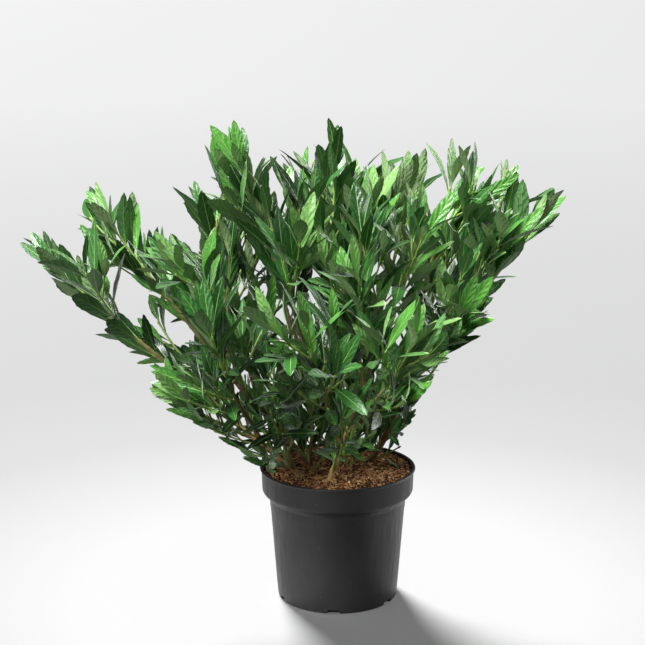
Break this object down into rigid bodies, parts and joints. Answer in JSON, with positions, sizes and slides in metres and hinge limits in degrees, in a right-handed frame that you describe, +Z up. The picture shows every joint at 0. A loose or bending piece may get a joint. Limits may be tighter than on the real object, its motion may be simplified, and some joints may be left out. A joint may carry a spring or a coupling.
{
  "type": "potted cherry laurel shrub",
  "caption": "Narrow-leaved evergreen cherry laurel shrub with a wide open crown of upright leafy shoots, growing in its round black nursery pot.",
  "frame": {"origin": "middle of the pot's flat underside, on the floor it stands on", "axes": "+Z up out of the pot, +X to the right as the plant faces the camera of the picture, along the crown's widest spread, +Y to the plant's back"},
  "size_m": [0.764, 0.5369, 0.6736],
  "materials": {
    "pot": "black moulded polypropylene, satin",
    "soil": "loose peat and bark potting soil, matt",
    "bark": "young laurel bark, matt",
    "leaves": "leathery laurel leaves, glossy above and matt below"
  },
  "bodies": {
    "root": {"bough_back": "bark", "bough_back_left": "bark", "bough_centre_back": "bark", "bough_centre_in": "bark", "bough_centre_left": "bark", "bough_front_left": "bark", "bough_front_mid": "bark", "bough_front_right": "bark", "bough_left_high": "bark", "bough_left_inner": "bark", "bough_right_back": "bark", "bough_right_front": "bark", "bough_right_high": "bark", "bough_right_out": "bark", "bough_right_up": "bark", "foliage_back": "leaves", "foliage_back_left": "leaves", "foliage_back_low": "leaves", "foliage_centre": "leaves", "foliage_centre_back": "leaves", "foliage_centre_in": "leaves", "foliage_centre_left": "leaves", "foliage_centre_right": "leaves", "foliage_front": "leaves", "foliage_front_left": "leaves", "foliage_front_low": "leaves", "foliage_front_mid": "leaves", "foliage_front_right": "leaves", "foliage_left": "leaves", "foliage_left_back": "leaves", "foliage_left_core": "leaves", "foliage_left_high": "leaves", "foliage_left_inner": "leaves", "foliage_left_low": "leaves", "foliage_left_mid": "leaves", "foliage_right_back": "leaves", "foliage_right_front": "leaves", "foliage_right_high": "leaves", "foliage_right_low": "leaves", "foliage_right_out": "leaves", "foliage_right_under": "leaves", "foliage_right_up": "leaves", "foliage_skirt_left": "leaves", "foliage_skirt_right": "leaves", "foliage_sprig_left": "leaves", "foliage_sprig_mid": "leaves", "foliage_sprig_right": "leaves", "pot": "pot", "soil": "soil", "stem_centre": "bark", "stem_centre_right": "bark", "stem_front": "bark", "stem_left": "bark", "stem_left_mid": "bark", "stem_right": "bark", "stem_sprig_mid": "bark", "stem_sprig_right": "bark"}
  },
  "joints": []
}
